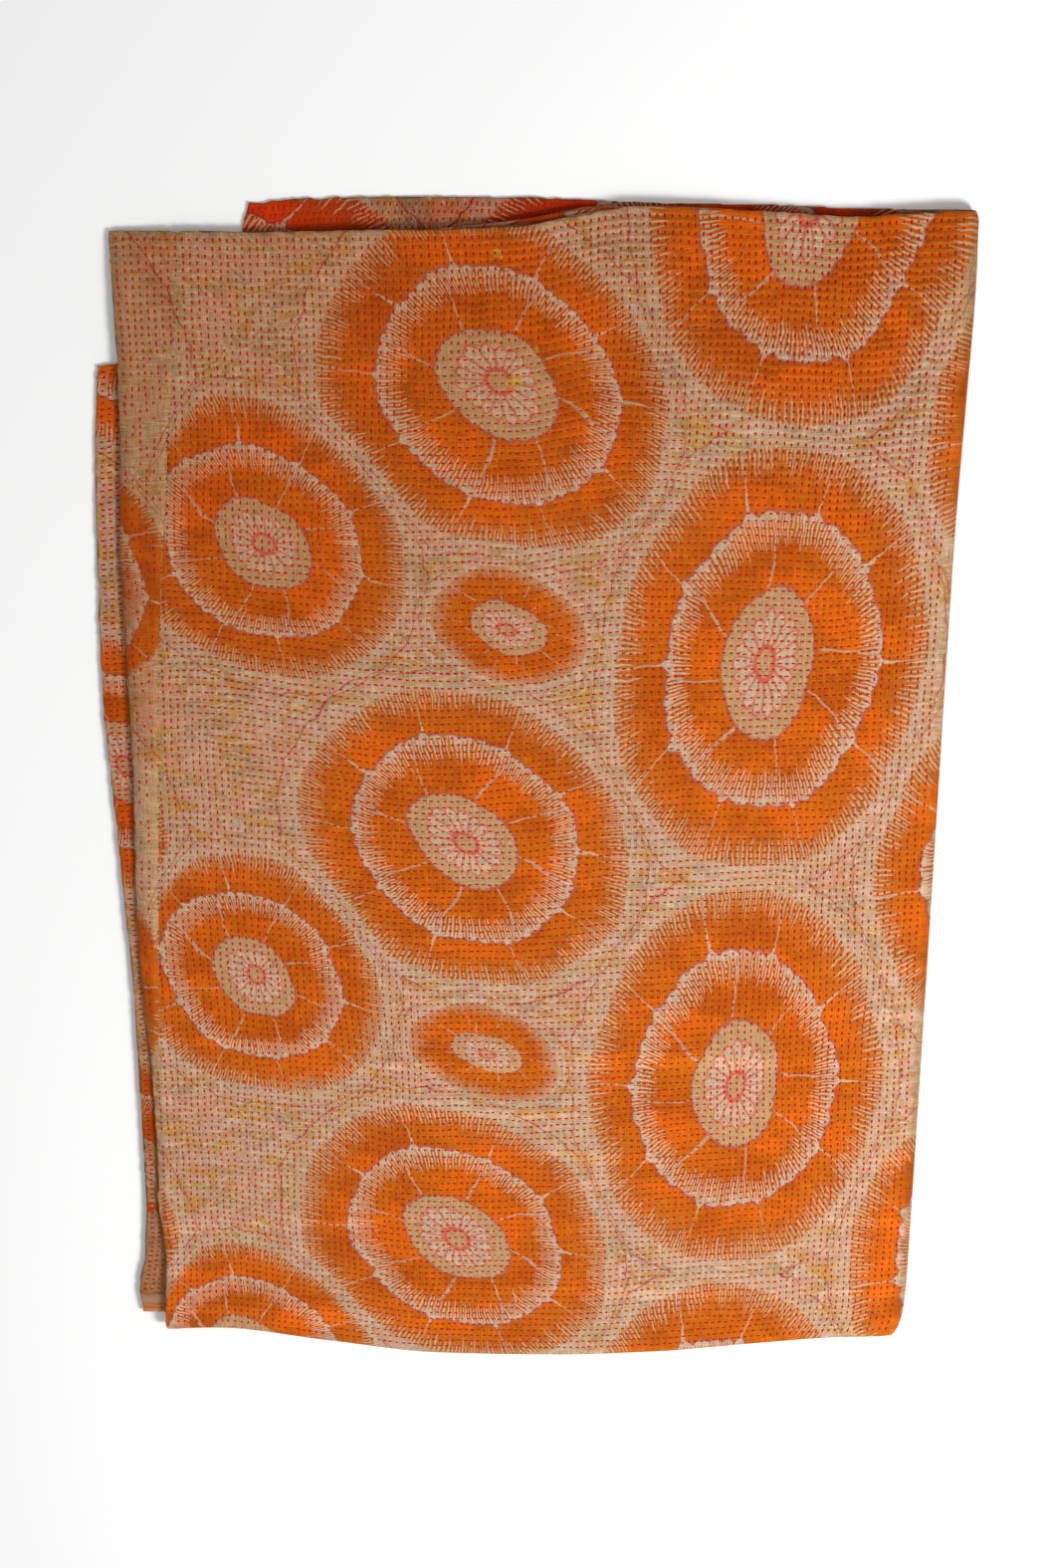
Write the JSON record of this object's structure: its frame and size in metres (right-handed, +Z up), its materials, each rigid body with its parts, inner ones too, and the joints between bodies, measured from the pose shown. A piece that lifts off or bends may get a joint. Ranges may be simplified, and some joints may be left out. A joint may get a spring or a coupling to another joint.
{
  "type": "kantha quilt folded in quarters",
  "caption": "Hand-stitched patterned cotton quilt folded in quarters and lying flat, its hem corners laid unevenly on each other.",
  "frame": {"origin": "middle of the footprint, on the surface that the quilt lies on", "axes": "+Z up, out of the folded quilt's upper face; +Y along its length, from the folded end to the end with the hems; +X across it, towards the long fold"},
  "size_m": [0.8023, 1.1851, 0.0134],
  "materials": {
    "cotton": "matte patterned cotton, washed soft",
    "thread": "matte red cotton sewing thread"
  },
  "bodies": {
    "root": {"quilt": "cotton"}
  },
  "joints": []
}
